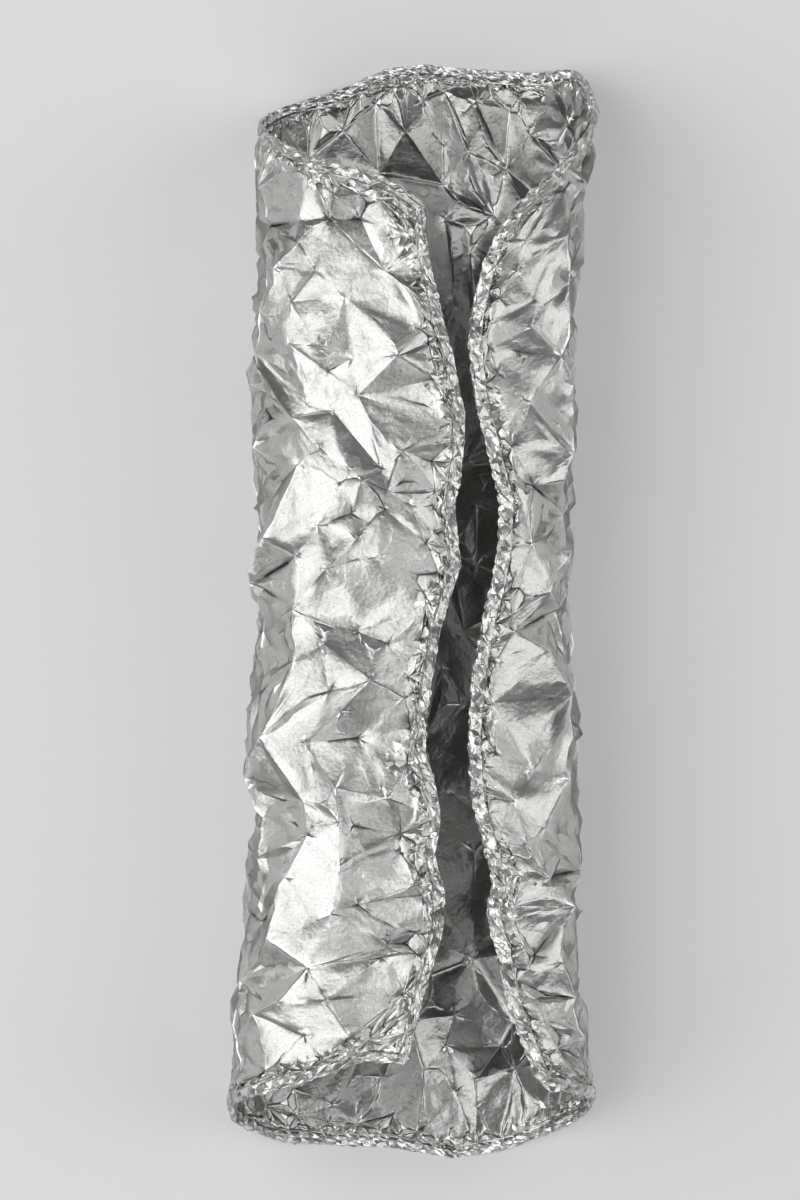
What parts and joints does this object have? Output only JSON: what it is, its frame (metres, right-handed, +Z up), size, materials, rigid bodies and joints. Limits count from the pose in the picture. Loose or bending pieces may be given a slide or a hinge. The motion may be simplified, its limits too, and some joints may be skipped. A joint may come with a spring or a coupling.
{
  "type": "aluminium foil roll",
  "caption": "Crumpled sheet of aluminium foil, hemmed on all edges and rolled into an open tube with a wavy lengthwise gap.",
  "frame": {"origin": "middle of the bounding box, on the floor that the tube lies on", "axes": "+Y along the tube towards the rim with the pointed right corner, +Z up through the lengthwise gap, +X to the right flap"},
  "size_m": [0.0945, 0.282, 0.0682],
  "materials": {
    "foil": "satin, crumpled"
  },
  "bodies": {
    "root": {"foil_sheet": "foil"}
  },
  "joints": []
}
